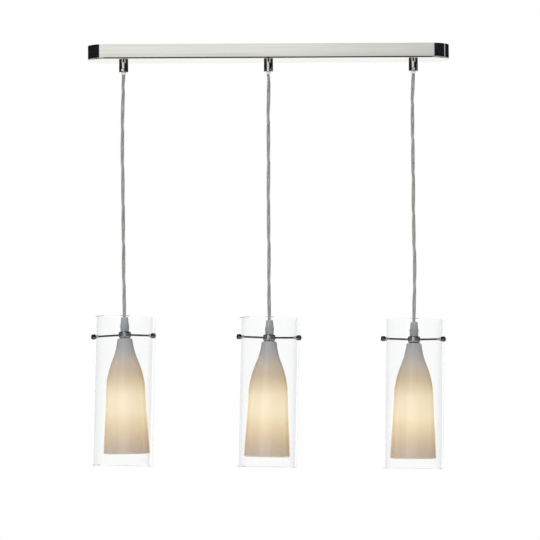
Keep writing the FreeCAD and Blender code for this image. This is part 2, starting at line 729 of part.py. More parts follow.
def opal_shade(side):
    """Bottle with a hole in its top, a waisted neck and an open mouth."""
    wall, lip = size["shade_wall"], size["shade_lip"]
    top = shade_top
    neck, waist = top - size["shade_neck"], top - size["shade_waist"]
    shoulder, mouth = top - size["shade_shoulder"], top - size["shade_length"]
    corner = size["shade_corner"]
    mouth_radius = size["shade_mouth_radius"]
    return lathe(f"opal_shade_{side}", [
        (size["shade_hole"], top - wall), (size["shade_top_radius"] - wall, top - wall),
        (size["shade_neck_radius"] - wall, neck, size["shade_waist_bend"], 1),
        (size["shade_waist_radius"] - wall, waist, size["shade_shoulder_bend"], -1),
        (size["shade_shoulder_radius"] - wall, shoulder), (mouth_radius - wall, mouth + lip),
        (mouth_radius - wall + lip, mouth), (mouth_radius - lip, mouth),
        (mouth_radius, mouth + lip),
        (size["shade_shoulder_radius"], shoulder, size["shade_shoulder_bend"], 1),
        (size["shade_waist_radius"], waist, size["shade_waist_bend"], -1),
        (size["shade_neck_radius"], neck),
        (size["shade_top_radius"], top - corner, corner, 1),
        (size["shade_top_radius"] - corner, top), (size["shade_hole"], top)], pendant_frame(side))


def shade_washer(side):
    place = pendant_frame(side).multiply(at(0, 0, shade_top))
    return tube(f"shade_washer_{side}", size["shade_washer_radius"],
                size["nipple_radius"] + size["thread_gap"], size["shade_washer"], place)


holder_top = shade_top - size["shade_wall"] - size["holder_gap"]
holder_foot = holder_top - size["holder_length"]
socket_top = holder_top - size["socket_floor"]


def shade_nipple(side):
    foot = holder_top - size["holder_thread"] + size["thread_gap"]
    top = hub_top + size["shade_nipple_rise"] - size["thread_gap"]
    return tube(f"shade_nipple_{side}", size["nipple_radius"], size["nipple_bore"], top - foot,
                pendant_frame(side).multiply(at(0, 0, foot)))


def lampholder(side):
    """Screw-lamp holder: a cap on the nipple, a skirt and a socket open below."""
    thread = size["nipple_radius"] + size["thread_gap"]
    mouth_top = holder_foot + size["socket_mouth"]
    return lathe(f"lampholder_{side}", [
        (thread, holder_top), (thread, holder_top - size["holder_thread"]),
        (0, holder_top - size["holder_thread"]), (0, socket_top),
        (size["socket_radius"], socket_top), (size["socket_radius"], mouth_top),
        (size["socket_mouth_radius"], mouth_top), (size["socket_mouth_radius"], holder_foot),
        (size["holder_skirt_radius"], holder_foot),
        (size["holder_skirt_radius"], holder_top - size["holder_skirt_drop"]),
        (size["holder_cap_radius"], holder_top - size["holder_cap"]),
        (size["holder_top_radius"], holder_top)], pendant_frame(side))


base_top = socket_top - size["lamp_seat"]
base_foot = base_top - size["base_length"]


def lamp_base(side):
    pip, cone = base_top - size["base_pip"], base_top - size["base_pip"] - size["base_cone"]
    return lathe(f"lamp_base_{side}", [
        (0, base_foot), (size["base_radius"], base_foot), (size["base_radius"], cone),
        (size["base_pip_radius"], pip), (size["base_pip_radius"], base_top), (0, base_top)],
        pendant_frame(side))


def lamp_glass(side):
    """Candle-shaped envelope, open where it sits on its base."""
    wall = size["lamp_wall"]
    belly, tip = base_foot - size["lamp_belly"], base_foot - size["lamp_length"]
    return lathe(f"lamp_glass_{side}", [
        (size["lamp_neck_radius"], base_foot, size["lamp_shoulder_bend"], -1),
        (size["lamp_radius"], belly, size["lamp_tip_bend"], -1),
        (0, tip), (0, tip + 2 * wall, size["lamp_tip_bend"], 1),
        (size["lamp_radius"] - wall, belly, size["lamp_shoulder_bend"], 1),
        (size["lamp_neck_radius"] - wall, base_foot)], pendant_frame(side))


# ---- the part -------------------------------------------------------------------------------

keep(bar_cover(), "bar_cover")
keep(ceiling_bracket(), "ceiling_bracket")
keep(cover_screws(), "cover_screws")
keep(earth_post(), "earth_post")
keep(earth_nut(), "earth_nut")
keep(terminal_block(), "terminal_block")
keep(terminal_screws(), "terminal_screws")
keep(group("cord_insert_set", [cord_insert(side) for side in SIDES]), "cord_inserts")
keep(group("grip_screw_set", [grip_screw(side) for side in SIDES]), "grip_screws")
keep(group("grip_nipple_set", [grip_nipple(side) for side in SIDES]), "grip_nipples")
keep(group("grip_washer_set", [grip_washer(side) for side in SIDES]), "grip_washers")
keep(group("grip_nut_set", [grip_nut(side) for side in SIDES]), "grip_nuts")

PENDANT_PIECES = {
    "clamp_cap": clamp_cap, "clamp_body": clamp_body, "hub": hub, "arms": arms,
    "bushes": bushes, "knobs": knobs, "glass_cylinder": glass_cylinder,
    "opal_shade": opal_shade, "shade_washer": shade_washer, "shade_nipple": shade_nipple,
    "lampholder": lampholder, "lamp_base": lamp_base, "lamp_glass": lamp_glass,
}

for level_index, side in enumerate(SIDES):
    keep(grip(side), f"grip_{side}")
    keep(bar_lead(side, level_index), f"bar_lead_{side}")
    keep(hanging_cord(side), f"cord_{side}")
    for label, make in PENDANT_PIECES.items():
        keep(make(side), f"{label}_{side}")

doc.recompute()

for thing in doc.Objects:
    if "Invalid" in thing.State or "Error" in thing.State:
        raise RuntimeError(f"{thing.Label} did not build: {thing.State}")
for node in nodes:
    if node.Shape.isNull() or not node.Shape.isValid() or not node.Shape.Solids:
        raise RuntimeError(f"{node.Label} has no valid solid")

os.makedirs("parts", exist_ok=True)
for node in nodes:
    node.Shape.exportStep(f"parts/{node.Label}.step")
print(len(nodes), "nodes")
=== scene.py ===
"""Looks for a linear island pendant: a chrome ceiling bar with three clear cords.
Each cord carries an opal glass shade inside a clear glass cylinder.
Lengths are in metres and angles in degrees unless a name says otherwise."""

import math

import bpy
from mathutils import Matrix, Vector


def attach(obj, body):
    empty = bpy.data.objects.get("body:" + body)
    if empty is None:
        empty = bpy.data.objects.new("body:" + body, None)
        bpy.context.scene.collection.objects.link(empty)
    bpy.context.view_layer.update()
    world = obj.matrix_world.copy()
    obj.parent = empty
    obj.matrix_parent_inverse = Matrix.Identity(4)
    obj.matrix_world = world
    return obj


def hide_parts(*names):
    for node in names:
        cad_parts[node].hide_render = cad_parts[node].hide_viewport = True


# The camera, in the photograph's 540 x 540 frame
CAMERA_PLACE = Vector((0.001, -4.96, -0.7345))
CAMERA_TARGET = Vector((0.001, 0.0, -0.3725))
CAMERA_ROLL = -0.265
CAMERA_LENS_MM = 201.0
CAMERA_SENSOR_MM = 36.0
CAMERA_REACH = 150.0

# The floor of the studio
FLOOR_HEIGHT = -3.00
FLOOR_SIDE = 100.0
FLOOR_GLOW = 0.20

# Large lamps for the matt surfaces: place, side length and power in watts
SOFT_LAMPS = {
    "key_light": ((-2.2, -2.8, 1.0), 1.8, 60.0),
    "fill_light": ((2.6, -1.8, 0.4), 1.6, 22.0),
    "back_light": ((0.6, 3.0, 0.9), 1.8, 30.0),
}
SOFT_LAMP_TARGET = Vector((0.0, 0.0, -0.4))

# The studio as polished surfaces see it. Azimuth counts from the camera's side,
# positive to the right. Where a pair of angles has an edge of its own, the pair gives
# the two sides and the edge how softly they end. Any other pair of angles is where a
# change begins and where it is complete.
CARD_AZIMUTH = (-38.0, 17.0)
CARD_ELEVATION = (3.0, 12.0)
TALL_CARD_AZIMUTH = (-34.0, -8.0)
TALL_CARD_ELEVATION = (11.0, 62.0)
CARD_SIDE_EDGE = 3.0
CARD_LEVEL_EDGE = 2.0
CARD_COLOUR = (0.98, 0.98, 0.9506)
CARD_FADE_AZIMUTH = (0.0, 3.4)
CARD_FADE = 0.74
STRIP_AZIMUTH = (91.0, 96.0)
STRIP_EDGE = 2.0
STRIP_LIGHT = 0.8

# The bright wall behind the object, wider close to the horizon
BACK_AZIMUTH = (147.0, 153.0)
BACK_TOP = (28.0, 32.0)
LOW_BACK_AZIMUTH = (134.0, 150.0)
LOW_BACK_TOP = (4.5, 6.5)
BACK_LIGHT = 1.13

# The dark room round it, a little lighter close to the horizon
HORIZON = (-1.0, 0.0)
LOW_ROOM_TOP = (5.0, 6.0)
LOW_ROOM_COLOUR = (0.115, 0.150, 0.180)
ROOM_COLOUR = (0.010, 0.013, 0.018)

# Its floor: light, apart from a dark strip straight ahead and sides that are dark
# close to the horizon
DARK_FLOOR_COLOUR = (0.022, 0.018, 0.014)
LIGHT_FLOOR_COLOUR = (0.66, 0.65, 0.63)
DARK_STRIP_AZIMUTH = (15.0, 17.0)
DARK_SIDE_AZIMUTH = (45.0, 55.0)
LIGHT_SIDE_AZIMUTH = (50.0, 54.0)
LIGHT_SIDE_ELEVATION = (-40.0, -12.0)
LIGHT_SIDE_EDGE = 3.0
BACK_FLOOR_AZIMUTH = (148.0, 156.0)
BACK_FLOOR_ELEVATION = (-32.0, -28.0)
BACK_FLOOR_LIGHT = 1.75

# The even light on matt surfaces, from its weak side to its strong side
SOFT_LIGHT = (0.46, 1.02)
SOFT_LIGHT_FROM = (-0.45, -0.62, 0.64)

# Chrome: its two tones, and a painted shade that darkens it from the second height down
# to the first, at the bar's lower edge, and keeps it darker on all chrome below
CHROME_TONES = ((0.72, 0.715, 0.69), (0.82, 0.815, 0.79))
CHROME_PAINTED_SHADE = (0.84, 0.84, 0.83)
CHROME_PAINTED_SHADE_HEIGHTS = (-0.0225, -0.012)

# The thin arms and their knobs get a painted shade: their chrome is darkened to this
# fraction of the bar's
ARM_NODES = ("arms_", "knobs_")
ARM_PAINTED_SHADE = 0.42

# Moulded plastics: two tones between which the colour drifts, and roughness
PLASTICS = {
    "insert_plastic": ((0.60, 0.60, 0.60), (0.66, 0.66, 0.66), 0.3),
    "block_plastic": ((0.80, 0.80, 0.77), (0.85, 0.85, 0.82), 0.35),
    "holder_plastic": ((0.52, 0.53, 0.53), (0.58, 0.59, 0.59), 0.4),
    "lead_pvc": ((0.62, 0.62, 0.59), (0.68, 0.68, 0.65), 0.25),
}

# The cords: each route runs from its grip down to its clamp, and twist is the length
# in which the two cores turn once about each other
CORD_DIAMETER = 0.006
SHEATH_STEPS = 16
SHEATH_ROUNDNESS = 8
CORE_RADIUS = 0.00115
CORE_OFFSET = 0.00125
CORE_STEP = 0.0015
CORE_SIDES = 12
STRAND_STRETCH = 140.0
CORDS = {
    "left": {
        "length": 0.4041,
        "twist": 0.128,
        "phase": 20.0,
        "route": [
            (-0.24, 0.0, -0.0455),
            (-0.2412, 0.0003, -0.0795),
            (-0.2421, 0.0008, -0.1235),
            (-0.2425, 0.0005, -0.1735),
            (-0.2416, -0.0003, -0.2235),
            (-0.2411, -0.0009, -0.2735),
            (-0.2406, -0.0005, -0.3235),
            (-0.2405, 0.0004, -0.3715),
            (-0.2398, 0.0005, -0.4125),
            (-0.239, 0.0, -0.4495),
        ],
    },
    "centre": {
        "length": 0.4101,
        "twist": 0.136,
        "phase": 75.0,
        "route": [
            (0.0, 0.0, -0.0455),
            (0.0003, -0.0003, -0.0775),
            (-0.001, -0.0007, -0.1235),
            (-0.0004, -0.0003, -0.1735),
            (-0.0009, 0.0004, -0.2235),
            (-0.0012, 0.0009, -0.2735),
            (-0.0007, 0.0006, -0.3235),
            (-0.0005, -0.0001, -0.3725),
            (-0.0013, -0.0003, -0.4155),
            (0.0, 0.0, -0.4555),
        ],
    },
    "right": {
        "length": 0.4141,
        "twist": 0.122,
        "phase": 130.0,
        "route": [
            (0.24, 0.0, -0.0455),
            (0.2391, 0.0002, -0.0695),
            (0.2377, 0.0005, -0.0975),
            (0.2382, 0.0008, -0.1335),
            (0.2381, 0.0002, -0.1765),
            (0.2387, -0.0004, -0.2255),
            (0.2382, -0.0008, -0.2755),
            (0.2388, -0.0005, -0.3195),
            (0.2397, 0.0001, -0.3555),
            (0.2397, 0.0004, -0.3905),
            (0.2381, 0.0003, -0.4255),
            (0.238, 0.0, -0.4595),
        ],
    },
}

# The opal glass's painted glow, standing in for the light of the lamp inside that comes
# through it: how much and in what tint, by depth below the plane of the arms
ARM_PLANES = {"left": -0.4785, "centre": -0.4845, "right": -0.4885}
SHADE_DEPTH = 0.196
GLOW = [
    (0.000, 0.00, (1.0, 0.75, 0.60)),
    (0.020, 0.03, (1.0, 0.75, 0.60)),
    (0.042, 0.19, (1.0, 0.63, 0.26)),
    (0.068, 0.34, (1.0, 0.62, 0.14)),
    (0.094, 0.59, (1.0, 0.77, 0.40)),
    (0.120, 0.65, (1.0, 0.80, 0.44)),
    (0.136, 0.59, (1.0, 0.77, 0.36)),
    (0.162, 0.43, (1.0, 0.64, 0.20)),
    (0.190, 0.25, (1.0, 0.58, 0.20)),
]


def rgba(colour):
    """A colour with its alpha, from three parts or from one number for a grey."""
    parts = (colour,) * 3 if isinstance(colour, float) else colour
    return (*parts, 1.0)


class Nodes:
    """A node tree, with short calls for what materials and the studio both need."""

    def __init__(self, tree):
        self.tree = tree

    def node(self, kind, **settings):
        made = self.tree.nodes.new(kind)
        for key, value in settings.items():
            setattr(made, key, value)
        return made

    def feed(self, socket, value):
        """Links another node's output to a socket, or sets it to a fixed value."""
        if isinstance(value, bpy.types.NodeSocket):
            self.tree.links.new(value, socket)
        else:
            socket.default_value = value

    def mix(self, factor, first, second, blend_type="MIX"):
        """A colour between two, by a factor from 0 to 1."""
        made = self.node("ShaderNodeMix", data_type="RGBA", blend_type=blend_type)
        self.feed(made.inputs["Factor"], factor)
        for name, colour in (("A", first), ("B", second)):
            linked = isinstance(colour, bpy.types.NodeSocket)
            self.feed(made.inputs[name], colour if linked else rgba(colour))
        return made.outputs["Result"]


class Shader(Nodes):
    """One node material. The sockets given at the start keep a fitting plain value,
    also where a texture drives them later."""

    def __init__(self, name, **sockets):
        self.material = bpy.data.materials.new(name)
        self.material.use_nodes = True
        super().__init__(self.material.node_tree)
        self.surface = self.tree.nodes["Principled BSDF"]
        for socket, value in sockets.items():
            self.surface.inputs[socket.replace("_", " ")].default_value = value

    def drive(self, socket, value):
        self.feed(self.surface.inputs[socket], value)

    def place(self, stretch=(1.0, 1.0, 1.0)):
        """The point on the object, in metres, stretched along each axis."""
        coordinates = self.node("ShaderNodeTexCoord")
        mapping = self.node("ShaderNodeMapping")
        self.feed(mapping.inputs["Scale"], stretch)
        self.feed(mapping.inputs["Vector"], coordinates.outputs["Object"])
        return mapping.outputs["Vector"]

    def height(self):
        """The height of the point on the object."""
        split = self.node("ShaderNodeSeparateXYZ")
        self.feed(split.inputs["Vector"], self.place())
        return split.outputs["Z"]

    def noise(self, scale, detail=3.0, stretch=(1.0, 1.0, 1.0)):
        made = self.node("ShaderNodeTexNoise")
        self.feed(made.inputs["Scale"], scale)
        self.feed(made.inputs["Detail"], detail)
        self.feed(made.inputs["Vector"], self.place(stretch))
        return made.outputs["Fac"]

    def spread(self, value, low, high, start=0.3, end=0.7):
        """Takes a value between start and end to one between low and high."""
        made = self.node("ShaderNodeMapRange")
        self.feed(made.inputs["Value"], value)
        self.feed(made.inputs["From Min"], start)
        self.feed(made.inputs["From Max"], end)
        self.feed(made.inputs["To Min"], low)
        self.feed(made.inputs["To Max"], high)
        return made.outputs["Result"]

    def cloud(self, scale, detail=3.0):
        """Soft patches between 0 and 1."""
        return self.spread(self.noise(scale, detail), 0.0, 1.0)

    def bump(self, height, depth, strength=1.0, under=None):
        """Raises the surface by a texture, on top of the bump under it."""
        made = self.node("ShaderNodeBump")
        self.feed(made.inputs["Strength"], strength)
        self.feed(made.inputs["Distance"], depth)
        self.feed(made.inputs["Height"], height)
        if under is not None:
            self.feed(made.inputs["Normal"], under)
        self.drive("Normal", made.outputs["Normal"])
        return made.outputs["Normal"]


def polished_chrome(name, tone=1.0):
    """Bright plating with a slight roll along the bar and fine wiping marks, and
    painted shade: darker from the bar's lower edge down, and darker all over where tone
    is below 1.
    """
    s = Shader(name, Metallic=1.0, Roughness=0.06)
    streaks = s.noise(1.0, detail=4.0, stretch=(7.0, 60.0, 330.0))
    # tone darkens the plating as a painted shade; it is below 1 only for the arms and
    # knobs
    tones = [[tone * part for part in colour] for colour in CHROME_TONES]
    plate = s.mix(s.spread(streaks, 0.0, 1.0, 0.34, 0.66), *tones)
    # Painted shade: the plating turns darker from the bar's lower edge down and stays
    # darker on all chrome below it
    lower = s.spread(s.height(), 1.0, 0.0, *CHROME_PAINTED_SHADE_HEIGHTS)
    s.drive("Base Color", s.mix(lower, plate, CHROME_PAINTED_SHADE, "MULTIPLY"))
    wiped = s.noise(1.0, detail=5.0, stretch=(9.0, 300.0, 520.0))
    s.drive("Roughness", s.spread(wiped, 0.035, 0.11))
    rolled = s.noise(1.0, detail=2.0, stretch=(3.5, 20.0, 46.0))
    s.bump(wiped, depth=0.000004, under=s.bump(rolled, depth=0.00006))
    return s.material


def zinc_steel():
    """Bright zinc plate with its faint crystal pattern."""
    s = Shader("zinc_steel", Metallic=1.0, Roughness=0.3)
    cells = s.node("ShaderNodeTexVoronoi")
    s.feed(cells.inputs["Scale"], 160.0)
    s.feed(cells.inputs["Vector"], s.place())
    crystals = s.mix(cells.outputs["Distance"], (0.55, 0.56, 0.58), (0.72, 0.72, 0.72))
    s.drive("Base Color", crystals)
    s.drive("Roughness", s.spread(s.noise(240.0), 0.24, 0.42))
    s.bump(s.noise(900.0, detail=4.0), depth=0.00001)
    return s.material


def plated_brass():
    """Nickel-plated brass, warmer where the plate is thin."""
    s = Shader("plated_brass", Metallic=1.0, Roughness=0.25)
    s.drive("Base Color", s.mix(s.cloud(120.0), (0.80, 0.66, 0.38), (0.72, 0.60, 0.36)))
    s.drive("Roughness", s.spread(s.noise(500.0, detail=4.0), 0.18, 0.34))
    s.bump(s.noise(1400.0), depth=0.000008)
    return s.material


def moulded(name, first, second, roughness, grain=1800.0, depth=0.000015, clear=0.0):
    """Moulded plastic: a faint cloud in its colour and a fine grain from the mould."""
    s = Shader(name, Roughness=roughness, IOR=1.5, Transmission_Weight=clear)
    s.drive("Base Color", s.mix(s.cloud(60.0), first, second))
    s.drive("Roughness", s.spread(s.noise(420.0), roughness - 0.05, roughness + 0.07))
    s.bump(s.noise(grain, detail=4.0), depth)
    return s.material


def clamp_plastic():
    """Cool grey translucent plastic, turned smooth, with faint rings from the mould."""
    s = Shader(
        "clamp_plastic",
        Roughness=0.28,
        IOR=1.5,
        Subsurface_Weight=0.35,
        Subsurface_Scale=0.004,
        Subsurface_Radius=(0.8, 0.9, 1.0),
    )
    s.drive("Base Color", s.mix(s.cloud(90.0), (0.29, 0.30, 0.31), (0.33, 0.34, 0.35)))
    s.drive("Roughness", s.spread(s.noise(300.0), 0.22, 0.34))
    grain = s.bump(s.noise(1500.0, detail=4.0), depth=0.00001)
    rings = s.noise(1.0, detail=2.0, stretch=(40.0, 40.0, 1400.0))
    s.bump(rings, depth=0.00002, under=grain)
    return s.material


def clear_sheath():
    """The cord's clear sheath, faintly grey, with a soft ripple from the cores."""
    s = Shader("clear_sheath", Roughness=0.06, IOR=1.40, Transmission_Weight=1.0)
    s.drive("Base Color", s.mix(s.cloud(35.0), (0.76, 0.77, 0.75), (0.86, 0.87, 0.85)))
    s.drive("Roughness", s.spread(s.noise(260.0), 0.04, 0.12))
    s.bump(s.noise(1.0, detail=2.0, stretch=(60.0, 60.0, 34.0)), depth=0.00018)
    return s.material


def tinned_core():
    """Tinned strands laid in a spiral under thin clear insulation."""
    s = Shader(
        "tinned_core",
        Metallic=0.15,
        Roughness=0.34,
        Coat_Weight=0.6,
        Coat_Roughness=0.12,
    )
    coordinates = s.node("ShaderNodeTexCoord")
    lay = s.node("ShaderNodeMapping")
    s.feed(lay.inputs["Rotation"], (0.0, 0.0, math.radians(24.0)))
    s.feed(lay.inputs["Vector"], coordinates.outputs["UV"])
    strands = s.node("ShaderNodeTexWave", wave_type="BANDS", bands_direction="Y")
    s.feed(strands.inputs["Scale"], 4.2)
    s.feed(strands.inputs["Distortion"], 0.5)
    s.feed(strands.inputs["Vector"], lay.outputs["Vector"])
    wires = strands.outputs["Fac"]
    s.drive("Base Color", s.mix(wires, (0.62, 0.62, 0.60), (0.96, 0.96, 0.92)))
    s.drive("Roughness", s.spread(s.noise(700.0), 0.26, 0.46))
    s.bump(wires, depth=0.00012, strength=0.7)
    return s.material


def clear_glass():
    """Drawn clear glass: a faint grey cast and long shallow waves down the tube."""
    s = Shader("clear_glass", Roughness=0.0, IOR=1.22, Transmission_Weight=1.0)
    cast = s.mix(s.cloud(9.0), (0.994, 0.996, 0.996), (0.998, 0.999, 0.999))
    s.drive("Base Color", cast)
    s.bump(s.noise(1.0, detail=2.0, stretch=(16.0, 16.0, 4.0)), depth=0.000003)
    return s.material


def opal_glass(side):
    """Opal glass under a clear glossy skin, with a painted glow by depth that stands in
    for the lamp inside it.
    """
    s = Shader(
        "opal_glass_" + side,
        Roughness=0.22,
        IOR=1.5,
        Specular_IOR_Level=0.15,
        Coat_Weight=1.0,
        Coat_Roughness=0.025,
        Coat_Tint=(1.0, 0.98, 0.94, 1.0),
        Emission_Strength=1.0,
    )
    milk = s.mix(s.cloud(22.0, detail=2.0), (0.46, 0.472, 0.495), (0.505, 0.517, 0.535))
    s.drive("Base Color", milk)
    top = ARM_PLANES[side]
    # Painted glow: emission by depth below the arms, in place of the lamp's light
    # through the glass
    glow = s.node("ShaderNodeValToRGB")
    glow.color_ramp.interpolation = "CARDINAL"
    stops = glow.color_ramp.elements
    while len(stops) < len(GLOW):
        stops.new(0.5)
    for stop, (below, light, tint) in zip(stops, GLOW):
        stop.position = below / SHADE_DEPTH
        stop.color = rgba([light * part for part in tint])
    s.feed(glow.inputs["Fac"], s.spread(s.height(), 1.0, 0.0, top - SHADE_DEPTH, top))
    s.drive("Emission Color", glow.outputs["Color"])
    s.bump(s.noise(1.0, detail=2.0, stretch=(30.0, 30.0, 18.0)), depth=0.00006)
    return s.material


def lamp_glass():
    """The frosted lamp, bright all over, in soft patches."""
    s = Shader("lamp_glass", Roughness=0.35, Emission_Strength=2.4)
    cloud = s.cloud(45.0, detail=2.0)
    s.drive("Base Color", s.mix(cloud, (0.86, 0.84, 0.80), (0.92, 0.90, 0.86)))
    s.drive("Emission Color", s.mix(cloud, (1.0, 0.84, 0.60), (1.0, 0.88, 0.68)))
    s.bump(s.noise(2200.0), depth=0.00001)
    return s.material


def all_finishes():
    """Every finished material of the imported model's nodes, by name."""
    finishes = {
        "polished_chrome": polished_chrome("polished_chrome"),
        # A copy of the chrome with painted shade, for the arms and knobs
        "arm_chrome_painted_shade": polished_chrome("arm_chrome_painted_shade", ARM_PAINTED_SHADE),
        "zinc_steel": zinc_steel(),
        "plated_brass": plated_brass(),
        "clamp_plastic": clamp_plastic(),
        "bush_plastic": moulded(
            "bush_plastic", (0.55, 0.53, 0.49), (0.62, 0.60, 0.56), 0.3, clear=0.35
        ),
        "washer_rubber": moulded(
            "washer_rubber",
            (0.07, 0.07, 0.07),
            (0.10, 0.10, 0.10),
            0.6,
            grain=900.0,
            depth=0.00003,
        ),
        "clear_glass": clear_glass(),
        "lamp_glass": lamp_glass(),
    }
    for name, look in PLASTICS.items():
        finishes[name] = moulded(name, *look)
    for side in CORDS:
        finishes["opal_glass_" + side] = opal_glass(side)
    return finishes


def finish_name(node, slot):
    """The finish for a node's material slot."""
    if node.startswith(ARM_NODES):
        return "arm_chrome_painted_shade"
    if slot == "opal_glass":
        return node.replace("opal_shade", "opal_glass")
    return slot


def dress(nodes):
    """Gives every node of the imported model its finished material."""
    finishes = all_finishes()
    for name, piece in nodes.items():
        for held in piece.material_slots:
            slot = held.material.name.split(".")[0]
            finish = finish_name(name, slot)
            if finish in finishes:
                held.material = finishes[finish]


def show(name, data):
    """A new object of the scene that holds this data."""
    made = bpy.data.objects.new(name, data)
    bpy.context.scene.collection.objects.link(made)
    return made


def cord_curve(side):
    """The line of one cord: a smooth spline through the route's points."""
    data = bpy.data.curves.new("cord_sheath_" + side, "CURVE")
    data.dimensions = "3D"
    data.resolution_u = SHEATH_STEPS
    spline = data.splines.new("NURBS")
    route = CORDS[side]["route"]
    spline.points.add(len(route) - 1)
    for point, place in zip(spline.points, route):
        point.co = (*place, 1.0)
    spline.order_u = 3
    spline.use_endpoint_u = True
    return show(data.name, data)


def spline_points(curve):
    """The points along a curve that has no bevel yet, evenly spaced."""
    bpy.context.view_layer.update()
    line = bpy.data.meshes.new_from_object(curve)
    points = [v.co.copy() for v in line.vertices]
    bpy.data.meshes.remove(line)
    even = [points[0]]
    for start, end in zip(points, points[1:]):
        along = (end - start).normalized()
        while (end - even[-1]).length > CORE_STEP:
            even.append(even[-1] + along * CORE_STEP)
    even.append(points[-1])
    return even


def core_rings(points, twist, phase):
    """The vertices of one core, ring by ring, and the cord's length at each ring."""
    vertices, runs, run = [], [], 0.0
    for i, point in enumerate(points):
        before, after = points[max(i - 1, 0)], points[min(i + 1, len(points) - 1)]
        along = (after - before).normalized()
        side = (Vector((1.0, 0.0, 0.0)) - along * along.x).normalized()
        front = along.cross(side)
        if i:
            run += (point - points[i - 1]).length
        angle = math.radians(phase) + math.tau * run / twist
        reach = math.cos(angle) * side + math.sin(angle) * front
        middle = point + CORE_OFFSET * reach
        for k in range(CORE_SIDES):
            around = math.tau * k / CORE_SIDES
            outward = math.cos(around) * side + math.sin(around) * front
            vertices.append(middle + CORE_RADIUS * outward)
        runs.append(run)
    return vertices, runs


def twisted_core(name, points, twist, phase):
    """One core of a cord: a round strand that turns about the cord's line."""
    vertices, runs = core_rings(points, twist, phase)
    last = (len(points) - 1) * CORE_SIDES
    faces = []
    for ring in range(0, last, CORE_SIDES):
        for k in range(CORE_SIDES):
            a, b = ring + k, ring + (k + 1) % CORE_SIDES
            faces.append((a, b, b + CORE_SIDES, a + CORE_SIDES))
    faces.append(tuple(reversed(range(CORE_SIDES))))
    faces.append(tuple(range(last, last + CORE_SIDES)))
    mesh = bpy.data.meshes.new(name)
    mesh.from_pydata(vertices, [], faces)
    unwrapped = mesh.uv_layers.new(name="strand")
    for face in mesh.polygons:
        face.use_smooth = True
        for corner, vertex in zip(face.loop_indices, face.vertices):
            ring, place = divmod(vertex, CORE_SIDES)
            across = place / CORE_SIDES
            unwrapped.data[corner].uv = (runs[ring] * STRAND_STRETCH, across)
    return show(name, mesh)


def hang_cords():
    """The three cords: a clear sheath and two twisted cores each."""
    sheath_finish, core_finish = clear_sheath(), tinned_core()
    for side, facts in CORDS.items():
        sheath = cord_curve(side)
        inner = spline_points(sheath)[1:-1]
        cores = [
            twisted_core(
                f"cord_core_{side}_{n}", inner, facts["twist"], facts["phase"] + 180 * n
            )
            for n in range(2)
        ]
        sheath.data.bevel_depth = CORD_DIAMETER / 2
        sheath.data.bevel_resolution = SHEATH_ROUNDNESS
        sheath.data.use_fill_caps = True
        sheath.data.materials.append(sheath_finish)
        for piece in (sheath, *cores):
            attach(piece, "drop_" + side)
        for core in cores:
            core.data.materials.append(core_finish)
        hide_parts("cord_" + side)


def set_camera():
    """The photograph's view, from a little below the bar."""
    data = bpy.data.cameras.new("photo_camera")
    data.lens = CAMERA_LENS_MM
    data.sensor_width = CAMERA_SENSOR_MM
    data.clip_end = CAMERA_REACH
    camera = show(data.name, data)
    look = (CAMERA_TARGET - CAMERA_PLACE).to_track_quat("-Z", "Y").to_matrix().to_4x4()
    roll = Matrix.Rotation(math.radians(CAMERA_ROLL), 4, "Z")
    camera.matrix_world = Matrix.Translation(CAMERA_PLACE) @ look @ roll
    bpy.context.scene.camera = camera


def lay_floor():
    """A plain pale floor, far below the object and not seen in it."""
    half = FLOOR_SIDE / 2
    mesh = bpy.data.meshes.new("floor")
    corners = [(-half, -half), (half, -half), (half, half), (-half, half)]
    mesh.from_pydata([(x, y, FLOOR_HEIGHT) for x, y in corners], [], [(0, 1, 2, 3)])
    floor = show("floor", mesh)
    paint = moulded(
        "floor_paint",
        (0.93, 0.93, 0.93),
        (0.95, 0.95, 0.95),
        0.7,
        grain=40.0,
        depth=0.0002,
    )
    surface = paint.node_tree.nodes["Principled BSDF"]
    surface.inputs["Emission Color"].default_value = rgba(1.0)
    surface.inputs["Emission Strength"].default_value = FLOOR_GLOW
    mesh.materials.append(paint)
    floor.visible_glossy = False
    floor.visible_transmission = False


def soft_lamp(name, place, side, power):
    """A large soft light that shapes matt surfaces and isn't seen in polished ones."""
    data = bpy.data.lights.new(name, "AREA")
    data.shape = "SQUARE"
    data.size = side
    data.energy = power
    lamp = show(name, data)
    lamp.location = place
    aim = SOFT_LAMP_TARGET - Vector(place)
    lamp.rotation_euler = aim.to_track_quat("-Z", "Y").to_euler()
    lamp.visible_camera = False
    lamp.visible_glossy = False
    lamp.visible_transmission = False


class Sky(Nodes):
    """The nodes of the studio round the object."""

    def __init__(self):
        world = bpy.data.worlds.new("studio")
        world.use_nodes = True
        bpy.context.scene.world = world
        super().__init__(world.node_tree)
        self.tree.nodes.clear()

    def math(self, operation, first, second=0.0):
        made = self.node("ShaderNodeMath", operation=operation)
        self.feed(made.inputs[0], first)
        self.feed(made.inputs[1], second)
        return made.outputs[0]

    def both(self, first, second):
        return self.math("MULTIPLY", first, second)

    def either(self, first, second):
        return self.math("MAXIMUM", first, second)

    def unless(self, value):
        return self.math("SUBTRACT", 1.0, value)

    def rise(self, value, start, end):
        """Goes softly from 0 to 1 between two values."""
        made = self.node("ShaderNodeMapRange", interpolation_type="SMOOTHSTEP")
        self.feed(made.inputs["Value"], value)
        self.feed(made.inputs["From Min"], start)
        self.feed(made.inputs["From Max"], end)
        return made.outputs["Result"]

    def band(self, value, low, high, edge):
        """1 between two values and 0 outside them, with soft edges."""
        begun = self.rise(value, low - edge / 2, low + edge / 2)
        ended = self.rise(value, high - edge / 2, high + edge / 2)
        return self.both(begun, self.unless(ended))


